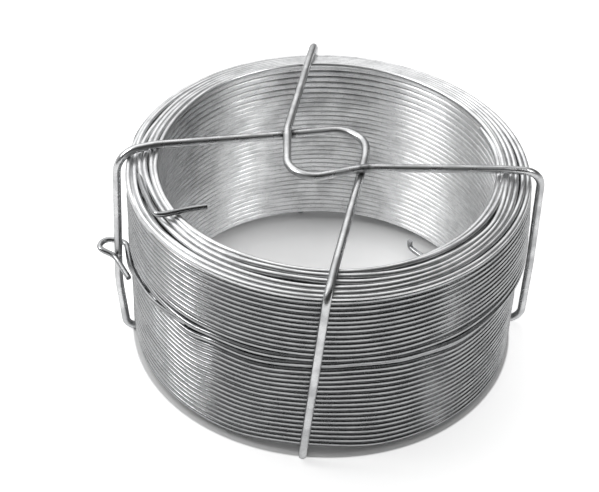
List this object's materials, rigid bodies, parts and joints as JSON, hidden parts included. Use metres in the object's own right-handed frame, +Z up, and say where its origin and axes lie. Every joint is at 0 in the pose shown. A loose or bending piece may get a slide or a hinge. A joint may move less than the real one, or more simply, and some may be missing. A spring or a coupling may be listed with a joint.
{
  "type": "coil of binding wire",
  "caption": "Round coil of bright galvanised binding wire standing on its end, held by two bent tie wires that cross over its open middle.",
  "frame": {"origin": "on the coil's axis, on the floor that the tie wires' feet stand on", "axes": "+Z up along the coil's axis; the tie wire that crosses under the other one comes down at the front, -Y"},
  "size_m": [0.1086, 0.1041, 0.0547],
  "materials": {
    "coil_wire": "bright galvanised",
    "tie_wire": "dull galvanised"
  },
  "bodies": {
    "root": {"wire_coil": "coil_wire", "tie_wire_back_right": "tie_wire", "tie_wire_left_front": "tie_wire"}
  },
  "joints": []
}
